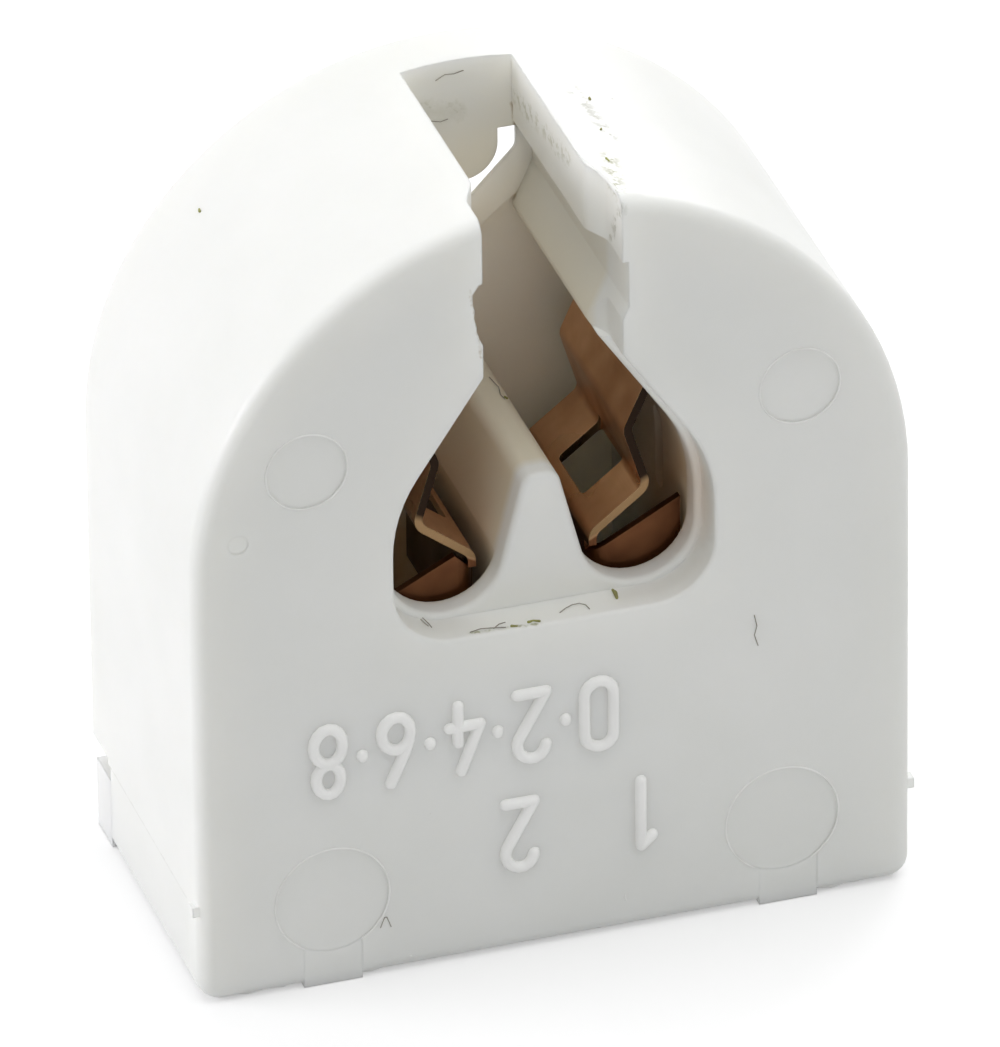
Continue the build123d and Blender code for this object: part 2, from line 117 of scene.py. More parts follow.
def soft_lamp(name, place, size, watts, tint):
    """An area lamp at a place in millimetres, turned towards the holder."""
    bpy.ops.object.light_add(type="AREA", location=Vector(place) * MM)
    lamp = bpy.context.object
    lamp.name = name
    lamp.rotation_euler = (AIM - lamp.location).to_track_quat("-Z", "Y").to_euler()
    lamp.data.shape = "DISK"
    lamp.data.size = size * MM
    lamp.data.energy = watts
    lamp.data.color = tint
    print(name, "gives", watts, "watts from", round(lamp.location.length / MM), "mm")


soft_lamp("overhead_lamp", place=(35.0, 0.0, 232.0), size=330.0, watts=0.375,
          tint=(1.0, 1.0, 0.995))
soft_lamp("left_lamp", place=(-205.0, 60.0, 70.0), size=120.0, watts=0.22,
          tint=(0.98, 0.965, 1.0))
soft_lamp("rear_lamp", place=(130.0, 165.0, 120.0), size=120.0, watts=0.125,
          tint=(0.985, 0.98, 1.0))

# %% Light the room
ROOM_TINT = (0.985, 0.99, 0.98, 1.0)
ROOM_STRENGTH = 0.45
PURE_WHITE = (1.0, 1.0, 1.0, 1.0)

world = bpy.data.worlds.new("pale_room")
bpy.context.scene.world = world
world.use_nodes = True
room = world.node_tree.nodes
room_links = world.node_tree.links
room.clear()
room_out = room.new("ShaderNodeOutputWorld")
room_mix = room.new("ShaderNodeMixShader")
room_light = room.new("ShaderNodeBackground")
room_light.inputs["Color"].default_value = ROOM_TINT
room_light.inputs["Strength"].default_value = ROOM_STRENGTH
room_white = room.new("ShaderNodeBackground")
room_white.inputs["Color"].default_value = PURE_WHITE
room_path = room.new("ShaderNodeLightPath")
room_seen = room.new("ShaderNodeMath")
room_seen.operation = "MAXIMUM"
room_seen_through = room.new("ShaderNodeMath")
room_seen_through.operation = "MAXIMUM"
room_links.new(room_path.outputs["Is Camera Ray"], room_seen.inputs[0])
room_links.new(room_path.outputs["Is Glossy Ray"], room_seen.inputs[1])
room_links.new(room_seen.outputs[0], room_seen_through.inputs[0])
room_links.new(room_path.outputs["Is Transmission Ray"], room_seen_through.inputs[1])
room_links.new(room_seen_through.outputs[0], room_mix.inputs["Fac"])
room_links.new(room_light.outputs[0], room_mix.inputs[1])
room_links.new(room_white.outputs[0], room_mix.inputs[2])
room_links.new(room_mix.outputs[0], room_out.inputs["Surface"])
print("the room has", len(room), "nodes")

# %% [markdown]
# ## Materials are built from small shared groups
# A group is made once, with named inputs, and each material sets its own values on it. The
# helpers here open a group with its sockets, place a node with its settings, place a group,
# open a material, mix two colours and work out one sum.

# %% Helpers for nodes
SOCKETS = {
    "value": "NodeSocketFloat",
    "vector": "NodeSocketVector",
    "colour": "NodeSocketColor",
}


def open_group(name, inputs, outputs):
    """A new shader group: inputs are (name, kind, value), outputs are (name, kind)."""
    group = bpy.data.node_groups.new(name, "ShaderNodeTree")
    for socket_name, kind, value in inputs:
        socket = group.interface.new_socket(
            socket_name, in_out="INPUT", socket_type=SOCKETS[kind])
        socket.default_value = value
    for socket_name, kind in outputs:
        group.interface.new_socket(socket_name, in_out="OUTPUT", socket_type=SOCKETS[kind])
    start = group.nodes.new("NodeGroupInput")
    end = group.nodes.new("NodeGroupOutput")
    return group, start, end


def place(tree, kind, wires=None, **settings):
    """Places one node. Wires give each input a number, a colour or another node's output."""
    node = tree.nodes.new(kind)
    for key, value in settings.items():
        setattr(node, key, value)
    for key, source in (wires or {}).items():
        if isinstance(source, bpy.types.NodeSocket):
            tree.links.new(source, node.inputs[key])
        else:
            node.inputs[key].default_value = source
    return node


def use_group(tree, group, **wires):
    """Places a group in a tree; an underscore in a name stands for a space."""
    node = tree.nodes.new("ShaderNodeGroup")
    node.node_tree = group
    for key, source in wires.items():
        socket = node.inputs[key.replace("_", " ")]
        if isinstance(source, bpy.types.NodeSocket):
            tree.links.new(source, socket)
        else:
            socket.default_value = source
    return node


def open_material(name):
    """A new material with one Principled shader; returns it, its tree and the shader."""
    material = bpy.data.materials.new(name)
    material.use_nodes = True
    tree = material.node_tree
    tree.nodes.clear()
    out = place(tree, "ShaderNodeOutputMaterial")
    surface = place(tree, "ShaderNodeBsdfPrincipled")
    tree.links.new(surface.outputs[0], out.inputs["Surface"])
    return material, tree, surface


def blend_colour(tree, amount, first, second):
    """Mixes two colours; returns the output socket."""
    node = place(tree, "ShaderNodeMix", data_type="RGBA")
    for index, source in ((0, amount), (6, first), (7, second)):
        if isinstance(source, bpy.types.NodeSocket):
            tree.links.new(source, node.inputs[index])
        else:
            node.inputs[index].default_value = source
    return node.outputs[2]


def count(tree, how, first, second=0.0, held=False):
    """One sum on values; returns the output socket."""
    node = place(tree, "ShaderNodeMath", {0: first, 1: second}, operation=how, use_clamp=held)
    return node.outputs[0]


print("groups can have these sockets:", ", ".join(SOCKETS))

# %% [markdown]
# ## Uneven tone
# Moulded plastic is never one flat colour. The melt leaves broad cloudy patches, and years
# of handling leave a fine greyness. Two sizes of noise on the object's own coordinates
# give both, so the pattern stays with the part when it is turned.

# %% Group: cloudy tone
SPECKLE_SHARE = 0.35
CLOUD_LOW = 0.35
CLOUD_HIGH = 0.72

cloudy_tone, start, end = open_group(
    "cloudy_tone",
    [
        ("Clean", "colour", (0.8, 0.8, 0.8, 1.0)),
        ("Dull", "colour", (0.7, 0.7, 0.7, 1.0)),
        ("Patch", "value", 250.0),
        ("Grain", "value", 2400.0),
        ("Amount", "value", 0.5),
    ],
    [("Colour", "colour"), ("Cloud", "value"), ("Speckle", "value")],
)
spot = place(cloudy_tone, "ShaderNodeTexCoord").outputs["Object"]
cloud = place(cloudy_tone, "ShaderNodeTexNoise", {
    "Vector": spot, "Scale": start.outputs["Patch"], "Detail": 2.0, "Roughness": 0.55})
speckle = place(cloudy_tone, "ShaderNodeTexNoise", {
    "Vector": spot, "Scale": start.outputs["Grain"], "Detail": 1.0, "Roughness": 0.6})
cloud_spread = place(cloudy_tone, "ShaderNodeMapRange", {
    "Value": cloud.outputs["Fac"], "From Min": CLOUD_LOW, "From Max": CLOUD_HIGH})
both = count(cloudy_tone, "MULTIPLY_ADD", speckle.outputs["Fac"], SPECKLE_SHARE)
cloudy_tone.links.new(cloud_spread.outputs[0], both.node.inputs[2])
amount = count(cloudy_tone, "MULTIPLY", both, start.outputs["Amount"], held=True)
mixed = blend_colour(cloudy_tone, amount, start.outputs["Clean"], start.outputs["Dull"])
cloudy_tone.links.new(mixed, end.inputs["Colour"])
cloudy_tone.links.new(cloud_spread.outputs[0], end.inputs["Cloud"])
cloudy_tone.links.new(speckle.outputs["Fac"], end.inputs["Speckle"])
print("cloudy_tone has", len(cloudy_tone.nodes), "nodes")

# %% [markdown]
# ## Soft, rubbed edges
# No moulded or rolled edge is sharp. The Bevel node rounds the shading of every edge by less
# than a tenth of a millimetre without touching the mesh, and where its normal leaves the true
# one there is an edge, which is where rubbing shows first. Both come out of one group.

# %% Group: rubbed edges
# The two normals agree by 1.0 on a flat face and by less where an edge is
BEVEL_SAMPLES = 2
EDGE_STARTS = 0.995
EDGE_FULL = 0.85
GAP_LOW = 0.4
GAP_HIGH = 0.6

rubbed_edges, start, end = open_group(
    "rubbed_edges",
    [("Radius", "value", 0.0001), ("Break Up", "value", 900.0)],
    [("Edge", "value"), ("Normal", "vector")],
)
rounded = place(
    rubbed_edges, "ShaderNodeBevel", {"Radius": start.outputs["Radius"]}, samples=BEVEL_SAMPLES)
true_normal = place(rubbed_edges, "ShaderNodeNewGeometry").outputs["Normal"]
agreement = place(rubbed_edges, "ShaderNodeVectorMath", {
    0: rounded.outputs["Normal"], 1: true_normal}, operation="DOT_PRODUCT")
edge = place(rubbed_edges, "ShaderNodeMapRange", {
    "Value": agreement.outputs["Value"], "From Min": EDGE_STARTS, "From Max": EDGE_FULL})
spot = place(rubbed_edges, "ShaderNodeTexCoord").outputs["Object"]
gaps = place(rubbed_edges, "ShaderNodeTexNoise", {
    "Vector": spot, "Scale": start.outputs["Break Up"], "Detail": 1.0})
gaps_spread = place(rubbed_edges, "ShaderNodeMapRange", {
    "Value": gaps.outputs["Fac"], "From Min": GAP_LOW, "From Max": GAP_HIGH})
broken_edge = count(rubbed_edges, "MULTIPLY", edge.outputs[0], gaps_spread.outputs[0])
rubbed_edges.links.new(broken_edge, end.inputs["Edge"])
rubbed_edges.links.new(rounded.outputs["Normal"], end.inputs["Normal"])
print("rubbed_edges has", len(rubbed_edges.nodes), "nodes")

# %% [markdown]
# ## Streaks and spots of dirt and painted shade
# Dirt sits in certain places: along the slot's rim, in the corners of the well, and the same
# streaks also paint shade and bounced light in a few places. A streak is a line between two
# points on the object. One noise is made first, because noise is slow to compute and every
# streak can share it. Each streak then measures how far a point of the surface is from its
# line, with the point pushed about by the noise, which makes the streak ragged, and where it
# is broken it keeps only the flecks where the noise is high.

# %% Group: grime and shade noise
FLECK_LOW = 0.48
FLECK_HIGH = 0.6

grime_and_shade_noise, start, end = open_group(
    "grime_and_shade_noise", [("Grain", "value", 4000.0)], [("Wander", "vector"), ("Flecks", "value")])
spot = place(grime_and_shade_noise, "ShaderNodeTexCoord").outputs["Object"]
wander = place(grime_and_shade_noise, "ShaderNodeTexNoise", {
    "Vector": spot, "Scale": start.outputs["Grain"], "Detail": 2.0, "Roughness": 0.75})
centred = place(grime_and_shade_noise, "ShaderNodeVectorMath", {
    0: wander.outputs["Color"], 1: (0.5, 0.5, 0.5)}, operation="SUBTRACT")
flecks = place(grime_and_shade_noise, "ShaderNodeMapRange", {
    "Value": wander.outputs["Fac"], "From Min": FLECK_LOW, "From Max": FLECK_HIGH})
grime_and_shade_noise.links.new(centred.outputs[0], end.inputs["Wander"])
grime_and_shade_noise.links.new(flecks.outputs[0], end.inputs["Flecks"])
print("grime_and_shade_noise has", len(grime_and_shade_noise.nodes), "nodes")

# %% Group: dirt and shade streak
dirt_and_shade_streak, start, end = open_group(
    "dirt_and_shade_streak",
    [
        ("From", "vector", (0.0, 0.0, 0.0)),
        ("To", "vector", (0.0, 0.0, 0.001)),
        ("Width", "value", 0.0002),
        ("Ragged", "value", 0.0003),
        ("Wander", "vector", (0.0, 0.0, 0.0)),
        ("Flecks", "value", 1.0),
        ("Broken", "value", 0.0),
    ],
    [("Mask", "value")],
)
spot = place(dirt_and_shade_streak, "ShaderNodeTexCoord").outputs["Object"]
pushed = place(dirt_and_shade_streak, "ShaderNodeVectorMath", {
    0: start.outputs["Wander"], "Scale": start.outputs["Ragged"]}, operation="SCALE")
moved = place(dirt_and_shade_streak, "ShaderNodeVectorMath", {
    0: spot, 1: pushed.outputs[0]}, operation="ADD")
along = place(dirt_and_shade_streak, "ShaderNodeVectorMath", {
    0: start.outputs["To"], 1: start.outputs["From"]}, operation="SUBTRACT")
reach = place(dirt_and_shade_streak, "ShaderNodeVectorMath", {
    0: moved.outputs[0], 1: start.outputs["From"]}, operation="SUBTRACT")
over = place(dirt_and_shade_streak, "ShaderNodeVectorMath", {
    0: reach.outputs[0], 1: along.outputs[0]}, operation="DOT_PRODUCT")
length_squared = place(dirt_and_shade_streak, "ShaderNodeVectorMath", {
    0: along.outputs[0], 1: along.outputs[0]}, operation="DOT_PRODUCT")
share = count(dirt_and_shade_streak, "DIVIDE", over.outputs["Value"], length_squared.outputs["Value"],
              held=True)
foot = place(dirt_and_shade_streak, "ShaderNodeVectorMath", {
    0: along.outputs[0], "Scale": share}, operation="SCALE")
gap = place(dirt_and_shade_streak, "ShaderNodeVectorMath", {
    0: reach.outputs[0], 1: foot.outputs[0]}, operation="DISTANCE")
near = place(dirt_and_shade_streak, "ShaderNodeMapRange", {
    "Value": gap.outputs["Value"], "From Min": start.outputs["Width"], "From Max": 0.0})
kept = place(dirt_and_shade_streak, "ShaderNodeMapRange", {
    "Value": start.outputs["Broken"], "To Min": 1.0, "To Max": start.outputs["Flecks"]})
mask = count(dirt_and_shade_streak, "MULTIPLY", near.outputs[0], kept.outputs[0])
dirt_and_shade_streak.links.new(mask, end.inputs["Mask"])
print("dirt_and_shade_streak has", len(dirt_and_shade_streak.nodes), "nodes")

# %% [markdown]
# ## Fine specks
# Dust that is pressed into the plastic shows as sparse dark dots. A Voronoi texture gives
# each cell one point and one random colour: a dot is drawn round the point, and only in the
# few cells whose colour passes a limit.

# %% Group: fine specks
fine_specks, start, end = open_group(
    "fine_specks",
    [("Scale", "value", 700.0), ("Size", "value", 0.05), ("Share", "value", 0.1)],
    [("Mask", "value")],
)
spot = place(fine_specks, "ShaderNodeTexCoord").outputs["Object"]
cells = place(fine_specks, "ShaderNodeTexVoronoi", {
    "Vector": spot, "Scale": start.outputs["Scale"], "Randomness": 1.0})
cell_colour = place(fine_specks, "ShaderNodeSeparateColor", {"Color": cells.outputs["Color"]})
chosen = count(fine_specks, "LESS_THAN", cell_colour.outputs["Red"], start.outputs["Share"])
dot_size = count(fine_specks, "MULTIPLY", cell_colour.outputs["Green"], start.outputs["Size"])
dot = place(fine_specks, "ShaderNodeMapRange", {
    "Value": cells.outputs["Distance"], "From Min": dot_size, "From Max": 0.0, "To Max": 2.0})
speck_mask = count(fine_specks, "MULTIPLY", dot.outputs[0], chosen, held=True)
fine_specks.links.new(speck_mask, end.inputs["Mask"])
print("fine_specks has", len(fine_specks.nodes), "nodes")

# %% [markdown]
# ## White plastic of the body
# The body is a heat-proof white plastic, slightly see-through, so a little light travels
# under the surface and softens the shadows in the slot. Less than half its weight and the
# quick Burley method are enough for that, and the render stays short. Its gloss is low.
# The tone is cloudy, and it has yellowed inside the chambers, where the lamp's heat
# collects; that yellow also stands for painted warm light that the bronze throws into the
# shaded chambers. Grime sits where the photograph shows it: along the slot's right rim, in
# the worn neck and on the floor of the well. A darker band along the base, an olive patch on
# the slot's rear wall and a brown tint on the chamber walls are painted shade and painted
# reflection.

# %% Where heat, grime and painted shade sit
# The heat's yellowing, with painted warm light from the bronze in the shaded chambers,
# spreads round a line through the chambers from front to rear, inside the body only
CHAMBER_FRONT = Vector((0.0, -2.4, 11.5)) * MM
CHAMBER_REAR = Vector((0.0, 3.34, 11.5)) * MM
CHAMBER_REACH = 8.0 * MM
INSIDE_MIDDLE = 0.7 * MM
INSIDE_FULL = 3.3 * MM
INSIDE_END = 3.65 * MM
STAIN_AND_SHADE_GRAIN = 3600.0
GREY_GRIME = (0.44, 0.44, 0.39, 1.0)
# Olive: grime on the rims and the well floor, and painted shade on the slot's rear wall
OLIVE_GRIME_AND_SHADE = (0.38, 0.38, 0.26, 1.0)
BROWN_GRIME = (0.34, 0.26, 0.15, 1.0)
# Painted shade: the lavender grey of the base's rounded edge, turned away from the light
BASE_PAINTED_SHADE = (0.62, 0.60, 0.63, 1.0)
# Painted light: brown of light reflected off the bronze onto plastic in shade
COPPER_BOUNCE_BROWN = (0.61, 0.36, 0.16, 1.0)

# Each row, a stain or a painted shade: from, to, width, raggedness (all in mm), how broken,
# strength, colour
BODY_STAINS_AND_SHADE = [
    ((-2.06, -4.22, 8.93), (-0.45, -4.32, 8.93), 0.08, 0.18, 0.8, 0.80, OLIVE_GRIME_AND_SHADE),
    ((2.60, -1.20, 19.88), (2.40, 1.30, 19.92), 0.26, 0.50, 1.0, 0.60, GREY_GRIME),
    ((2.20, -2.20, 20.00), (1.80, -3.80, 20.05), 0.30, 0.46, 1.0, 0.70, OLIVE_GRIME_AND_SHADE),
    ((1.72, -4.30, 19.80), (1.72, -3.45, 18.60), 0.22, 0.40, 1.0, 0.55, GREY_GRIME),
    ((1.38, -1.40, 19.60), (1.38, 2.70, 19.10), 0.30, 0.50, 1.0, 0.40, OLIVE_GRIME_AND_SHADE),
    # A thin brown line down the corner where the slot's right wall meets its rear wall
    ((1.38, 2.86, 18.80), (1.50, 2.86, 17.90), 0.08, 0.08, 0.3, 0.80, BROWN_GRIME),
    # Painted shade: an olive flecked patch high on the slot's shaded rear wall
    ((-0.80, 2.90, 19.00), (0.00, 2.90, 18.80), 0.34, 0.50, 0.7, 0.45, OLIVE_GRIME_AND_SHADE),
    ((-2.03, -4.36, 18.39), (-1.76, -4.36, 16.50), 0.06, 0.12, 0.6, 0.60, BROWN_GRIME),
    ((-8.90, -3.30, 2.40), (-8.90, 2.90, 2.40), 0.05, 0.10, 0.5, 0.40, GREY_GRIME),
    # Painted shade: a darker band along the base's rounded front edge
    ((-8.60, -4.34, 0.06), (8.60, -4.34, 0.06), 0.24, 0.12, 0.0, 0.12, BASE_PAINTED_SHADE),
    # Painted light: brown reflected off the bronze onto the shaded chamber wall
    ((3.85, -2.20, 11.30), (3.85, -0.40, 9.40), 2.20, 0.20, 0.0, 0.45, COPPER_BOUNCE_BROWN),
]
# The back isn't in the photograph, so the cover has one mark only, on its inner face:
# painted brown light reflected off the bronze into the shaded chamber
COVER_PAINTED_BOUNCE = [
    ((-1.50, 3.10, 7.40), (-1.50, 3.10, 6.20), 1.25, 0.20, 0.0, 0.50, COPPER_BOUNCE_BROWN),
]
print("the body has", len(BODY_STAINS_AND_SHADE), "stains_and_shade")

# %% Values of the plastic
EDGE_ROUND = 0.07 * MM
PATCHES = 210.0
GRAINS = 2600.0
UNEVENNESS = 0.6
HEAT_AND_BOUNCE_GAIN = 2.2
STAIN_AND_SHADE_GAIN = 1.6
SPECKS_PER_METRE = 620.0
SPECK_SIZE = 0.045
SPECK_SHARE = 0.10
SPECK_STRENGTH = 0.45
SPECK_COLOUR = (0.36, 0.35, 0.30, 1.0)
SHINIEST = 0.36
DULLEST = 0.5
RELIEF_STRENGTH = 0.12
RELIEF_DEPTH = 0.02 * MM
LIGHT_UNDER_SURFACE = 0.4
LIGHT_REACH = 1.6 * MM
REACH_BY_COLOUR = (1.0, 0.9, 0.7)
PLASTIC_IOR = 1.5
print("light travels", round(LIGHT_REACH / MM, 1), "mm under the surface")

# %% Helper for the plastics


def plastic(name, clean, dull, aged_and_bounce_tint, stains_and_shade):
    """White moulded plastic, softly edged, yellowed near the pin chambers by heat and painted
    warm light, with its stains and painted shade.
    """
    material, tree, surface = open_material(name)
    tone = use_group(tree, cloudy_tone, Clean=clean, Dull=dull, Patch=PATCHES, Grain=GRAINS,
                     Amount=UNEVENNESS)
    edges = use_group(tree, rubbed_edges, Radius=EDGE_ROUND)
    heat_and_bounce_mask = use_group(tree, dirt_and_shade_streak, From=CHAMBER_FRONT, To=CHAMBER_REAR,
                     Width=CHAMBER_REACH)
    spot_parts = place(tree, "ShaderNodeSeparateXYZ", {
        "Vector": place(tree, "ShaderNodeTexCoord").outputs["Object"]})
    from_middle = count(tree, "SUBTRACT", spot_parts.outputs["Y"], INSIDE_MIDDLE)
    inside = place(tree, "ShaderNodeMapRange", {
        "Value": count(tree, "ABSOLUTE", from_middle), "From Min": INSIDE_END,
        "From Max": INSIDE_FULL})
    heat_and_bounce_full = count(tree, "MULTIPLY", heat_and_bounce_mask.outputs["Mask"], HEAT_AND_BOUNCE_GAIN, held=True)
    heat_and_bounce_held = count(tree, "MULTIPLY", heat_and_bounce_full, inside.outputs[0])
    colour = blend_colour(tree, heat_and_bounce_held, tone.outputs["Colour"], aged_and_bounce_tint)
    grime_and_shade = use_group(tree, grime_and_shade_noise, Grain=STAIN_AND_SHADE_GRAIN)
    for first, last, width, ragged, broken, strength, tint in stains_and_shade:
        streak_node = use_group(tree, dirt_and_shade_streak, From=Vector(first) * MM, To=Vector(last) * MM,
                          Width=width * MM, Ragged=ragged * MM, Broken=broken,
                          Wander=grime_and_shade.outputs["Wander"], Flecks=grime_and_shade.outputs["Flecks"])
        streak_amount = count(tree, "MULTIPLY", streak_node.outputs["Mask"], strength * STAIN_AND_SHADE_GAIN,
                             held=True)
        colour = blend_colour(tree, streak_amount, colour, tint)
    specks = use_group(tree, fine_specks, Scale=SPECKS_PER_METRE, Size=SPECK_SIZE,
                       Share=SPECK_SHARE)
    speck_amount = count(tree, "MULTIPLY", specks.outputs["Mask"], SPECK_STRENGTH)
    colour = blend_colour(tree, speck_amount, colour, SPECK_COLOUR)
    tree.links.new(colour, surface.inputs["Base Color"])
    gloss = place(tree, "ShaderNodeMapRange", {
        "Value": tone.outputs["Cloud"], "To Min": SHINIEST, "To Max": DULLEST})
    tree.links.new(gloss.outputs[0], surface.inputs["Roughness"])
    relief = place(tree, "ShaderNodeBump", {
        "Height": tone.outputs["Speckle"], "Normal": edges.outputs["Normal"],
        "Strength": RELIEF_STRENGTH, "Distance": RELIEF_DEPTH})
    tree.links.new(relief.outputs[0], surface.inputs["Normal"])
    surface.subsurface_method = "BURLEY"
    surface.inputs["Subsurface Weight"].default_value = LIGHT_UNDER_SURFACE
    surface.inputs["Subsurface Radius"].default_value = REACH_BY_COLOUR
    surface.inputs["Subsurface Scale"].default_value = LIGHT_REACH
    surface.inputs["IOR"].default_value = PLASTIC_IOR
    print(name, "has", len(tree.nodes), "nodes")
    return material


print("the plastic's helper is ready")

# %% Materials: body and cover
body_plastic = plastic(
    "body_plastic", (0.82, 0.825, 0.805, 1.0), (0.77, 0.78, 0.755, 1.0),
    (0.75, 0.70, 0.57, 1.0), BODY_STAINS_AND_SHADE)
cover_plastic = plastic(
    "cover_plastic", (0.81, 0.81, 0.80, 1.0), (0.76, 0.765, 0.755, 1.0),
    (0.80, 0.765, 0.68, 1.0), COVER_PAINTED_BOUNCE)
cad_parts["housing"].material_slots[0].material = body_plastic
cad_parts["rear_cover"].material_slots[0].material = cover_plastic

# %% [markdown]
# ## Bronze of the contacts
# The contacts are folded from thin rolled strip. Rolling leaves fine lines along the strip,
# and the heat of the lamp browns it in patches. A metal's colour is its reflection, so the
# base colour carries the copper tone and the patches are darker and rougher. The sheared
# edges that look forwards are painted shade: nearly black high up and dull lower down. The
# blade behind each pin hole is painted a deeper red brown, a painted dark reflection of the
# shaded chamber. The object's own normals and heights tell which is which, and they turn
# with it.

# %% Values of the bronze
# The blade ends below a line that rises outwards; the cut edges' painted shade darkens above it
BLADE_SLOPE = 0.533
BLADE_LINE_LOW = 9.12 * MM
BLADE_LINE_HIGH = 9.22 * MM
DARK_EDGE_LOW = 9.75 * MM
DARK_EDGE_HIGH = 9.95 * MM
FACING_START = 0.6
FACING_FULL = 0.85
STRIP_TONES = {
    "Clean": (0.80, 0.50, 0.30, 1.0), "Dull": (0.46, 0.25, 0.13, 1.0),
    "Patch": 420.0, "Grain": 3000.0, "Amount": 0.75}
# Painted dark reflection: the blade is darkened as if it mirrors the shaded chamber
BLADE_PAINTED_SHADE_TONES = {
    "Clean": (0.19, 0.08, 0.036, 1.0), "Dull": (0.09, 0.036, 0.017, 1.0),
    "Patch": 700.0, "Grain": 2500.0, "Amount": 0.8}
RUBBED_COPPER = (0.92, 0.66, 0.42, 1.0)
# Painted shade on forward-looking cut edges: dull low down, nearly black high up
LOW_CUT_EDGE_SHADE = (0.24, 0.15, 0.075, 1.0)
HIGH_CUT_EDGE_SHADE = (0.020, 0.012, 0.008, 1.0)
STRIP_EDGE_ROUND = 0.03 * MM
EDGE_BREAKS = 1500.0
ROLLED_LINES = (9000.0, 500.0, 9000.0)
ROLLED_STRENGTH = 0.25
ROLLED_DEPTH = 0.01 * MM
BRONZE_SHINIEST = 0.26
BRONZE_DULLEST = 0.46
print("the blade's line rises", BLADE_SLOPE, "mm for each mm outwards")

# %% Bronze: the tones of strip and the blade's painted shade
contact_bronze, bronze_tree, bronze = open_material("contact_bronze")
bronze_tone = use_group(bronze_tree, cloudy_tone, **STRIP_TONES)
bronze_blade_shade = use_group(bronze_tree, cloudy_tone, **BLADE_PAINTED_SHADE_TONES)
bronze_edges = use_group(
    bronze_tree, rubbed_edges, Radius=STRIP_EDGE_ROUND, Break_Up=EDGE_BREAKS)
bright_edge = blend_colour(
    bronze_tree, bronze_edges.outputs["Edge"], bronze_tone.outputs["Colour"], RUBBED_COPPER)
bronze_place = place(bronze_tree, "ShaderNodeTexCoord")
bronze_spot = bronze_place.outputs["Object"]
bronze_xyz = place(bronze_tree, "ShaderNodeSeparateXYZ", {"Vector": bronze_spot})
outward = count(bronze_tree, "ABSOLUTE", bronze_xyz.outputs["X"])
line_rise = count(bronze_tree, "MULTIPLY", outward, BLADE_SLOPE)
above_line = count(bronze_tree, "SUBTRACT", bronze_xyz.outputs["Z"], line_rise)
above_blade = place(bronze_tree, "ShaderNodeMapRange", {
    "Value": above_line, "From Min": BLADE_LINE_LOW, "From Max": BLADE_LINE_HIGH})
strip_and_blade = blend_colour(
    bronze_tree, above_blade.outputs[0], bronze_blade_shade.outputs["Colour"], bright_edge)
print("so far contact_bronze has", len(bronze_tree.nodes), "nodes")

# %% Bronze: painted shade on the cut edges
bronze_faces = place(bronze_tree, "ShaderNodeSeparateXYZ", {
    "Vector": bronze_place.outputs["Normal"]})
facing_front = count(bronze_tree, "ABSOLUTE", bronze_faces.outputs["Y"])
cut_edge = place(bronze_tree, "ShaderNodeMapRange", {
    "Value": facing_front, "From Min": FACING_START, "From Max": FACING_FULL})
high_up = place(bronze_tree, "ShaderNodeMapRange", {
    "Value": above_line, "From Min": DARK_EDGE_LOW, "From Max": DARK_EDGE_HIGH})
cut_edge_shade_colour = blend_colour(bronze_tree, high_up.outputs[0], LOW_CUT_EDGE_SHADE, HIGH_CUT_EDGE_SHADE)
cut_edge_shade_amount = count(bronze_tree, "MULTIPLY", cut_edge.outputs[0], above_blade.outputs[0])
bronze_colour = blend_colour(bronze_tree, cut_edge_shade_amount, strip_and_blade, cut_edge_shade_colour)
bronze_tree.links.new(bronze_colour, bronze.inputs["Base Color"])
print("with its edges it has", len(bronze_tree.nodes), "nodes")

# %% Bronze: gloss and rolled lines
bronze_gloss = place(bronze_tree, "ShaderNodeMapRange", {
    "Value": bronze_tone.outputs["Cloud"], "To Min": BRONZE_SHINIEST,
    "To Max": BRONZE_DULLEST})
bronze_tree.links.new(bronze_gloss.outputs[0], bronze.inputs["Roughness"])
rolled = place(bronze_tree, "ShaderNodeMapping", {
    "Vector": bronze_spot, "Scale": ROLLED_LINES})
rolling = place(bronze_tree, "ShaderNodeTexNoise", {
    "Vector": rolled.outputs[0], "Scale": 1.0, "Detail": 2.0})
bronze_relief = place(bronze_tree, "ShaderNodeBump", {
    "Height": rolling.outputs["Fac"], "Normal": bronze_edges.outputs["Normal"],
    "Strength": ROLLED_STRENGTH, "Distance": ROLLED_DEPTH})
bronze_tree.links.new(bronze_relief.outputs[0], bronze.inputs["Normal"])
bronze.inputs["Metallic"].default_value = 1.0
for contact_name in ("contact_left", "contact_right"):
    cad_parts[contact_name].material_slots[0].material = contact_bronze
print("contact_bronze has", len(bronze_tree.nodes), "nodes")

# %% [markdown]
# ## Finishes of the small pieces
# The burrs, flash and worn lip are the body's own plastic where it is thin; they are rougher,
# and paler, partly from wear and partly as a painted highlight. The strokes of the numbers are
# paler too, a painted highlight, because light that travels under the surface would turn such
# thin beads grey. Hairs and crumbs are dull, and each varies from dark to light along its
# length.

# %% Helper for the small finishes
GRAINS_PER_PATCH = 6.0
DULL_UNEVENNESS = 0.9
DULL_RELIEF = 0.3
DULL_RELIEF_DEPTH = 0.01 * MM


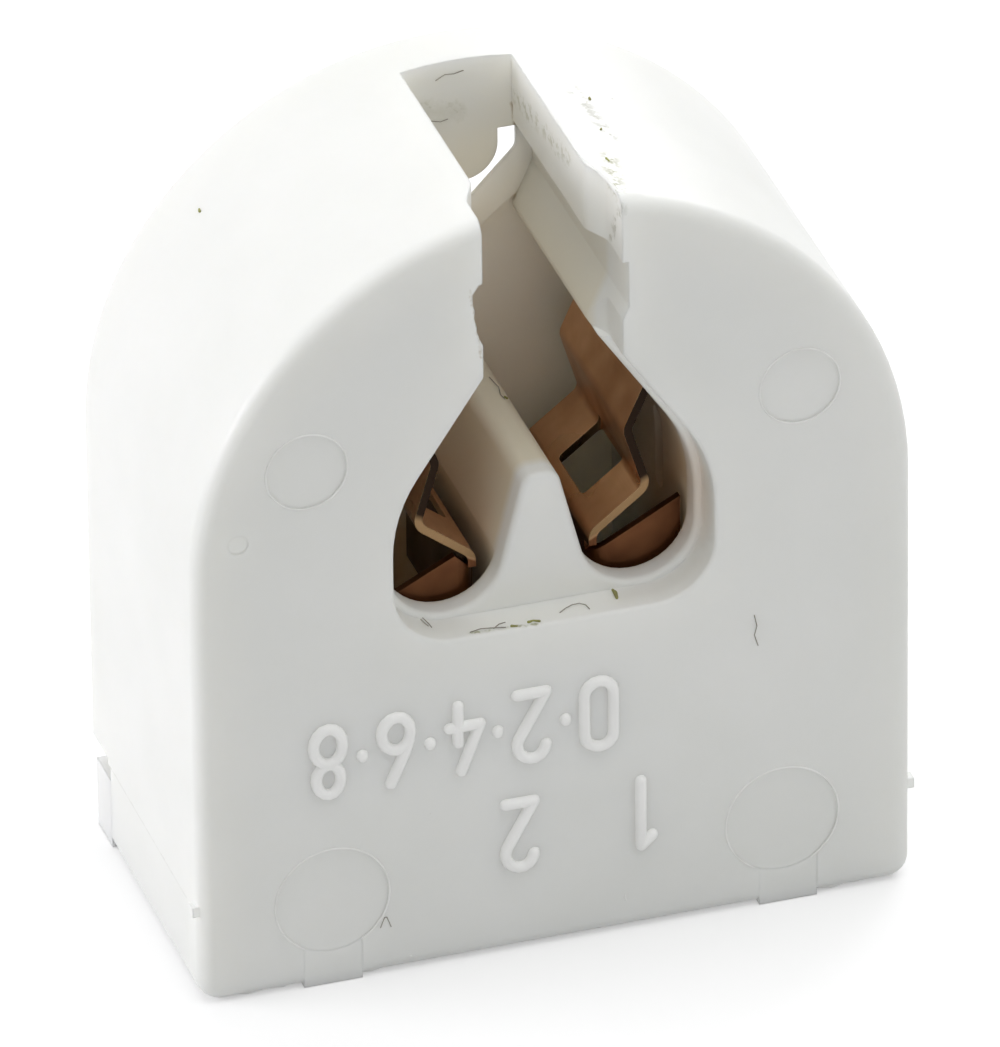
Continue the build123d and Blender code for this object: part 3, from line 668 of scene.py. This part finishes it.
def dull_finish(name, clean, dull, patch, roughness):
    """A finish in two uneven tones, rough unless roughness is low."""
    material, tree, surface = open_material(name)
    tone = use_group(tree, cloudy_tone, Clean=clean, Dull=dull, Patch=patch,
                     Grain=patch * GRAINS_PER_PATCH, Amount=DULL_UNEVENNESS)
    tree.links.new(tone.outputs["Colour"], surface.inputs["Base Color"])
    relief = place(tree, "ShaderNodeBump", {
        "Height": tone.outputs["Speckle"], "Strength": DULL_RELIEF,
        "Distance": DULL_RELIEF_DEPTH})
    tree.links.new(relief.outputs[0], surface.inputs["Normal"])
    surface.inputs["Roughness"].default_value = roughness
    print(name, "has", len(tree.nodes), "nodes")
    return material


print("each small finish has a patch", GRAINS_PER_PATCH, "times as wide as its grain")

# %% Materials: thin rims, numbers, hairs and crumbs
# Paler than the body: wear on the nicks and lip, a painted highlight on the burrs
rim_plastic_wear_and_highlight = dull_finish(
    "rim_plastic_wear_and_highlight", (0.90, 0.90, 0.89, 1.0), (0.80, 0.80, 0.78, 1.0), 900.0, 0.55)
# Paler than the body: a painted highlight on the raised strokes
number_plastic_painted_highlight = dull_finish(
    "number_plastic_painted_highlight", (0.97, 0.97, 0.96, 1.0), (0.92, 0.92, 0.905, 1.0), 600.0, 0.30)
hair_dark = dull_finish(
    "hair_dark", (0.16, 0.14, 0.12, 1.0), (0.42, 0.40, 0.34, 1.0), 2200.0, 0.7)
crumb_green = dull_finish(
    "crumb_green", (0.34, 0.36, 0.10, 1.0), (0.20, 0.17, 0.08, 1.0), 1500.0, 0.8)

# %% [markdown]
# ## A bead along a path
# The raised numbers, the hairs and the thin burrs are all beads: a round line that follows a
# path. By hand it is made from one point, extruded step by step along the path, turned into a
# curve that is given a round bevel, and turned back into a mesh. The last steps at each end
# get thinner, so the bead ends round, as the cutter leaves it in the mould.

# %% Helper: a path


def lay_path(points, closed):
    """One point, extruded along places in millimetres."""
    bpy.ops.object.select_all(action="DESELECT")
    bpy.ops.mesh.primitive_plane_add(size=MM)
    bpy.ops.object.mode_set(mode="EDIT")
    bpy.ops.mesh.select_all(action="SELECT")
    bpy.ops.mesh.merge(type="CENTER")
    bpy.ops.transform.translate(value=points[0] * MM)
    for before, after in zip(points, points[1:]):
        bpy.ops.mesh.extrude_vertices_move(
            TRANSFORM_OT_translate={"value": (after - before) * MM})
    if closed:
        corners = bmesh.from_edit_mesh(bpy.context.object.data)
        corners.verts.ensure_lookup_table()
        corners.verts[0].select = True
        corners.verts[-1].select = True
        bpy.ops.mesh.edge_face_add()
    bpy.ops.object.mode_set(mode="OBJECT")
    return bpy.context.object


print("a path is laid one extruded point at a time")

# %% Helper: a bead
TIP_ANGLES = (90.0, 60.0, 30.0)
BEAD_ROUNDNESS = 2
MERGE_DISTANCE = 1e-7


def tip(end_point, inner_point, radius):
    """Three points that lead past an end, with the sizes that make it round."""
    away = (end_point - inner_point).normalized()
    return [
        (end_point + away * radius * math.sin(math.radians(angle)), math.cos(math.radians(angle)))
        for angle in TIP_ANGLES
    ]


def bead(points, radius, closed=False, sizes=None):
    """A round bead along places in millimetres; sizes make it thicker or thinner."""
    path = [Vector(point) for point in points]
    sizes = list(sizes or [1.0] * len(path))
    if not closed:
        front = tip(path[0], path[1], radius * sizes[0])
        back = tip(path[-1], path[-2], radius * sizes[-1])
        first_size, last_size = sizes[0], sizes[-1]
        path = [p for p, _ in front] + path + [p for p, _ in reversed(back)]
        sizes = ([s * first_size for _, s in front] + sizes
                 + [s * last_size for _, s in reversed(back)])
    piece = lay_path(path, closed)
    bpy.ops.object.convert(target="CURVE")
    piece = bpy.context.object
    piece.data.bevel_depth = radius * MM
    piece.data.bevel_resolution = BEAD_ROUNDNESS
    spline = piece.data.splines[0]
    if (spline.points[0].co.xyz - path[0] * MM).length > MERGE_DISTANCE and not closed:
        sizes.reverse()
    for point, size in zip(spline.points, sizes):
        point.radius = size
    bpy.ops.object.convert(target="MESH")
    piece = bpy.context.object
    bpy.ops.object.mode_set(mode="EDIT")
    bpy.ops.mesh.select_all(action="SELECT")
    bpy.ops.mesh.remove_doubles(threshold=MERGE_DISTANCE)
    bpy.ops.mesh.normals_make_consistent(inside=False)
    bpy.ops.object.mode_set(mode="OBJECT")
    bpy.ops.object.shade_smooth()
    return piece


print("a bead ends in", len(TIP_ANGLES), "steps")

# %% Helpers: stretch and join


def stretch(piece, plane_y, share):
    """Stretches a piece away from an upright plane, all in its mesh."""
    bpy.ops.object.select_all(action="DESELECT")
    piece.select_set(True)
    bpy.context.view_layer.objects.active = piece
    bpy.ops.object.mode_set(mode="EDIT")
    bpy.ops.mesh.select_all(action="SELECT")
    bpy.ops.transform.resize(value=(1.0, share, 1.0), center_override=(0.0, plane_y * MM, 0.0))
    bpy.ops.object.mode_set(mode="OBJECT")


def join_beads(name, pieces, material):
    """Joins beads to one named piece that rides on the body."""
    bpy.ops.object.select_all(action="DESELECT")
    for piece in pieces:
        piece.select_set(True)
    joined = pieces[0]
    bpy.context.view_layer.objects.active = joined
    bpy.ops.object.join()
    joined.name = name
    joined.data.materials.clear()
    joined.data.materials.append(material)
    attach(joined, "root")
    print(name, "has", len(joined.data.polygons), "faces")


FRONT_Y = cad_low.y / MM
print("the front face stands at y =", round(FRONT_Y, 2), "mm")

# %% [markdown]
# ## Raised numbers
# Numbers are cut into such a mould with a small round cutter, so on the part they stand up
# as round strokes of one width, and they are read with the holder upside down, as it is held
# when its wires are pushed in. Each number is a few strokes on a small grid, 1 wide and 2
# high, and each stroke is stretched forwards a little. The upper row is a plain even scale
# with dots between its numbers, and the lower row gives each contact its number.

# %% Strokes of the numbers
STROKE_RADIUS = 0.145
STROKE_RISE = 1.15
NUMBER_WIDTH = 0.72
NUMBER_HEIGHT = 1.80


def bow(centre_u, centre_v, radius_u, radius_v, first, last, steps):
    """Places on part of an oval, in grid units, from one angle to another in degrees."""
    angles = [math.radians(first + (last - first) * step / steps) for step in range(steps + 1)]
    return [(centre_u + radius_u * math.cos(a), centre_v + radius_v * math.sin(a))
            for a in angles]


NUMBERS = {
    "0": [(bow(0.0, 0.62, 0.5, 0.38, 0, 180, 8) + bow(0.0, -0.62, 0.5, 0.38, 180, 360, 8), True)],
    "1": [([(0.1, 1.0), (0.1, -1.0)], False), ([(0.1, 1.0), (-0.28, 0.72)], False)],
    "2": [(bow(0.0, 0.55, 0.5, 0.45, 170, -30, 9) + [(-0.5, -1.0)], False),
          ([(-0.5, -1.0), (0.5, -1.0)], False)],
    "4": [([(0.1, 1.0), (-0.55, -0.36)], False), ([(-0.55, -0.36), (0.5, -0.36)], False),
          ([(0.2, 0.12), (0.2, -1.0)], False)],
    "6": [(bow(0.0, -0.5, 0.5, 0.5, 0, 337.5, 15), True),
          ([(0.2, 1.0), (-0.3, 0.1), (-0.46, -0.3)], False)],
    "8": [(bow(0.0, 0.54, 0.42, 0.46, 0, 337.5, 15), True),
          (bow(0.0, -0.47, 0.5, 0.53, 0, 337.5, 15), True)],
}


def raised_number(figure, centre_x, centre_z):
    """The beads of one number, upside down on the front face."""
    beads = []
    for stroke, closed in NUMBERS[figure]:
        points = [(centre_x - u * NUMBER_WIDTH, FRONT_Y, centre_z - v * NUMBER_HEIGHT / 2.0)
                  for u, v in stroke]
        piece = bead(points, STROKE_RADIUS, closed)
        stretch(piece, FRONT_Y, STROKE_RISE)
        beads.append(piece)
    return beads


print("numbers drawn:", ", ".join(sorted(NUMBERS)))

# %% Set out the scale
SCALE_FIGURES = "02468"
SCALE_HEIGHT = 6.2
SCALE_RIGHT = 1.05
SCALE_STEP = 1.68
DOT_HALF_LENGTH = 0.02

scale_beads = []
for place_in_row, figure in enumerate(SCALE_FIGURES):
    number_x = SCALE_RIGHT - SCALE_STEP * place_in_row
    scale_beads += raised_number(figure, number_x, SCALE_HEIGHT)
    if place_in_row < len(SCALE_FIGURES) - 1:
        dot_x = number_x - SCALE_STEP / 2.0
        dot = bead([(dot_x, FRONT_Y, SCALE_HEIGHT + DOT_HALF_LENGTH),
                    (dot_x, FRONT_Y, SCALE_HEIGHT - DOT_HALF_LENGTH)], STROKE_RADIUS)
        stretch(dot, FRONT_Y, STROKE_RISE)
        scale_beads.append(dot)
join_beads("raised_scale", scale_beads, number_plastic_painted_highlight)

# %% Set out the contact numbers
CONTACT_NUMBER_HEIGHT = 3.22
CONTACT_NUMBERS_MIDDLE = 0.6
CONTACT_NUMBER_APART = 1.55

contact_number_beads = raised_number(
    "1", CONTACT_NUMBERS_MIDDLE + CONTACT_NUMBER_APART, CONTACT_NUMBER_HEIGHT)
contact_number_beads += raised_number(
    "2", CONTACT_NUMBERS_MIDDLE - CONTACT_NUMBER_APART, CONTACT_NUMBER_HEIGHT)
join_beads("raised_contact_numbers", contact_number_beads, number_plastic_painted_highlight)

# %% [markdown]
# ## Burrs round the ejector marks
# The pins that push the part out of its mould leave shallow round marks, and the plastic that
# creeps in beside each pin leaves a hair-thin raised ring, which catches the light. The two
# lower rings are open where their tabs run down to the base.

# %% Make the burrs
BURR_RADIUS = 0.024
UPPER_MARKS = ((-6.08, 14.23), (6.08, 14.23))
UPPER_MARK_RADIUS = 1.0
LOWER_MARKS = ((-5.62, 2.33), (5.62, 2.33))
LOWER_MARK_RADIUS = 1.42
TAB_HALF_WIDTH = 0.725
OPEN_ANGLE = math.degrees(math.asin(TAB_HALF_WIDTH / LOWER_MARK_RADIUS))
RING_POINTS = 48
RING_STEP = 360.0 / RING_POINTS


def ring_places(mark, radius, first, last, steps):
    """Places round a mark on the front face."""
    return [(x, FRONT_Y, z) for x, z in bow(mark[0], mark[1], radius, radius, first, last, steps)]


burrs = []
for mark in UPPER_MARKS:
    full_ring = ring_places(mark, UPPER_MARK_RADIUS, 0.0, 360.0 - RING_STEP, RING_POINTS - 1)
    burrs.append(bead(full_ring, BURR_RADIUS, True))
for mark in LOWER_MARKS:
    open_ring = ring_places(mark, LOWER_MARK_RADIUS, -90.0 + OPEN_ANGLE, 270.0 - OPEN_ANGLE,
                            RING_POINTS)
    burrs.append(bead(open_ring, BURR_RADIUS))
join_beads("ejector_burrs", burrs, rim_plastic_wear_and_highlight)

# %% [markdown]
# ## Flash and nicks along the base
# The lower front edge has seen the most wear. Beside the tabs the mould's parting line has
# left a little ragged flash, and there are two pale nicks. Each is a short bead whose
# thickness goes up and down along its path.

# %% Make the flash
# Each run: its places in mm, its radius in mm and how thick it is at each place
flash_runs = [
    ([(-8.20, -4.14, 0.10), (-7.70, -4.17, 0.07), (-7.20, -4.18, 0.10), (-6.80, -4.16, 0.07)],
     0.07, (0.5, 1.0, 0.6, 0.9)),
    ([(-4.85, -4.20, 0.09), (-4.60, -4.22, 0.06), (-4.38, -4.20, 0.08)], 0.06, (0.9, 0.6, 0.4)),
    ([(6.62, -4.20, 0.10), (6.90, -4.22, 0.07), (7.25, -4.19, 0.09), (7.60, -4.17, 0.08)],
     0.065, (0.7, 1.0, 0.5, 0.8)),
    ([(-3.78, -4.33, 0.28), (-3.70, -4.37, 0.36)], 0.045, (0.7, 1.0)),
    ([(1.70, -4.39, 0.82), (1.66, -4.39, 0.92), (1.68, -4.39, 1.02)], 0.035, (0.6, 1.0, 0.7)),
]
flash = [bead(points, radius, sizes=sizes) for points, radius, sizes in flash_runs]
join_beads("base_flash", flash, rim_plastic_wear_and_highlight)

# %% [markdown]
# ## Worn lip of the slot
# Lamp pins rub along the right rim of the slot each time a tube goes in, and they push up a
# thin uneven lip. It is one bead that follows the rim and changes in thickness.

# %% Make the worn lip
LIP_RADIUS = 0.055
lip_path = [
    (1.40, 0.30, 20.12), (1.41, -0.30, 20.13), (1.40, -0.80, 20.11), (1.43, -1.30, 20.12),
    (1.42, -1.75, 20.10), (1.46, -2.15, 20.11), (1.52, -2.60, 20.09), (1.63, -3.00, 20.08),
    (1.70, -3.40, 20.07), (1.74, -3.75, 20.05), (1.75, -4.05, 20.02),
]
lip_sizes = (0.3, 0.7, 0.5, 0.9, 0.6, 1.0, 0.7, 1.0, 0.8, 1.0, 0.6)
worn_lip = bead(lip_path, LIP_RADIUS, sizes=lip_sizes)
join_beads("worn_slot_lip", [worn_lip], rim_plastic_wear_and_highlight)

# %% [markdown]
# ## Hairs
# An old part from a drawer carries a few curled hairs. They are so thin that they read as
# drawn lines, but each one is a real bead that lies on the surface, so it stays in place from
# every side.

# %% Make the hairs
# Each run: the hair's places in mm
HAIR_RADIUS = 0.012
hair_runs = [
    [(-2.98, -3.42, 9.07), (-2.90, -3.62, 9.02), (-2.88, -3.80, 9.01)],
    [(-3.05, -3.50, 9.09), (-3.00, -3.66, 9.06), (-2.95, -3.76, 9.04)],
    [(0.22, -4.04, 8.945), (0.42, -3.90, 8.95), (0.60, -3.80, 8.945), (0.78, -3.80, 8.95),
     (0.90, -3.90, 8.945), (0.93, -4.12, 8.95)],
    [(-2.06, -4.20, 8.945), (-1.78, -4.14, 8.95), (-1.55, -4.17, 8.945), (-1.20, -4.27, 8.95)],
    [(-1.48, -4.22, 8.945), (-1.30, -4.08, 8.95), (-1.14, -4.04, 8.945)],
    [(4.93, -4.42, 8.15), (4.99, -4.43, 7.85), (4.93, -4.42, 7.60), (5.02, -4.42, 7.30)],
    [(-4.44, -4.41, 1.32), (-4.34, -4.41, 1.58), (-4.28, -4.41, 1.58), (-4.18, -4.41, 1.30)],
    [(0.22, 1.25, 12.43), (0.26, 0.95, 12.43), (0.30, 0.77, 12.41), (0.22, 0.40, 12.43),
     (0.26, 0.18, 12.42)],
    [(-0.50, 2.88, 19.78), (-0.28, 2.88, 19.90), (-0.05, 2.88, 19.88), (0.18, 2.88, 19.93)],
    [(-0.62, 2.88, 18.70), (-0.40, 2.88, 18.64), (-0.22, 2.88, 18.68)],
]
hairs = [bead(points, HAIR_RADIUS) for points in hair_runs]
join_beads("stray_hairs", hairs, hair_dark)

# %% [markdown]
# ## Crumbs
# Small green and brown crumbs lie on the floor of the well and along the slot. Each is a very
# short bead that is thicker at one end.

# %% Make the crumbs
# Each run: its places in mm, its radius in mm and how thick it is at each place
crumb_runs = [
    ([(1.71, -3.50, 8.96), (1.72, -3.66, 8.97), (1.69, -3.86, 8.96)], 0.055, (0.6, 1.0, 0.7)),
    ([(-0.62, -4.22, 8.95), (-0.50, -4.20, 8.96), (-0.36, -4.26, 8.95)], 0.035, (1.0, 0.6, 0.9)),
    ([(-1.05, -4.26, 8.95), (-0.93, -4.30, 8.95)], 0.035, (1.0, 0.6)),
    ([(-6.46, 2.60, 17.50), (-6.44, 2.70, 17.50)], 0.035, (1.0, 0.7)),
    ([(2.37, -0.84, 19.94), (2.40, -0.78, 19.93)], 0.03, (1.0, 0.7)),
    ([(2.61, 0.71, 19.87), (2.62, 0.78, 19.87)], 0.035, (1.0, 0.8)),
    ([(2.02, -2.30, 20.02), (2.05, -2.42, 20.01)], 0.03, (1.0, 0.7)),
    ([(0.30, 0.30, 12.40), (0.34, 0.24, 12.39)], 0.03, (1.0, 0.8)),
]
crumbs = [bead(points, radius, sizes=sizes) for points, radius, sizes in crumb_runs]
join_beads("crumbs", crumbs, crumb_green)

# %% [markdown]
# ## The floor
# The holder stands on plain white paper with a pale soft shadow. The floor is an ordinary
# diffuse white for the light that it throws on the holder. Only where the camera looks at it
# directly is most of its white an even glow and the rest takes the shadow, so it reaches the
# white of the page and the shadow stays as faint as in the photograph. It lies a hair below
# the base, because two faces in one plane would flicker.

# %% Make the floor
FLOOR_SIZE = 1.6
FLOOR_DROP = 0.02 * MM
bpy.ops.mesh.primitive_plane_add(size=FLOOR_SIZE, location=(0.0, 0.0, -FLOOR_DROP))
floor = bpy.context.object
floor.name = "paper_floor"
print("floor is", round(floor.dimensions.x / MM), "mm wide")

# %% Material: white paper
PAPER_WHITE = (0.8, 0.8, 0.8, 1.0)
PAPER_SEEN = (0.70, 0.70, 0.705, 1.0)
PAPER_LIFT = 0.36

paper = bpy.data.materials.new("white_paper")
paper.use_nodes = True
paper_tree = paper.node_tree
paper_tree.nodes.clear()
paper_out = place(paper_tree, "ShaderNodeOutputMaterial")
paper_path = place(paper_tree, "ShaderNodeLightPath")
seen = count(paper_tree, "MAXIMUM", paper_path.outputs["Is Camera Ray"],
             paper_path.outputs["Is Glossy Ray"])
seen_through = count(paper_tree, "MAXIMUM", seen, paper_path.outputs["Is Transmission Ray"])
paper_colour = blend_colour(paper_tree, seen_through, PAPER_WHITE, PAPER_SEEN)
paper_diffuse = place(paper_tree, "ShaderNodeBsdfDiffuse", {"Color": paper_colour})
lift = count(paper_tree, "MULTIPLY", seen_through, PAPER_LIFT)
paper_glow = place(paper_tree, "ShaderNodeEmission", {
    "Color": PURE_WHITE, "Strength": lift})
paper_sum = place(paper_tree, "ShaderNodeAddShader", {
    0: paper_diffuse.outputs[0], 1: paper_glow.outputs[0]})
paper_tree.links.new(paper_sum.outputs[0], paper_out.inputs["Surface"])
floor.data.materials.append(paper)
print("white_paper has", len(paper_tree.nodes), "nodes")
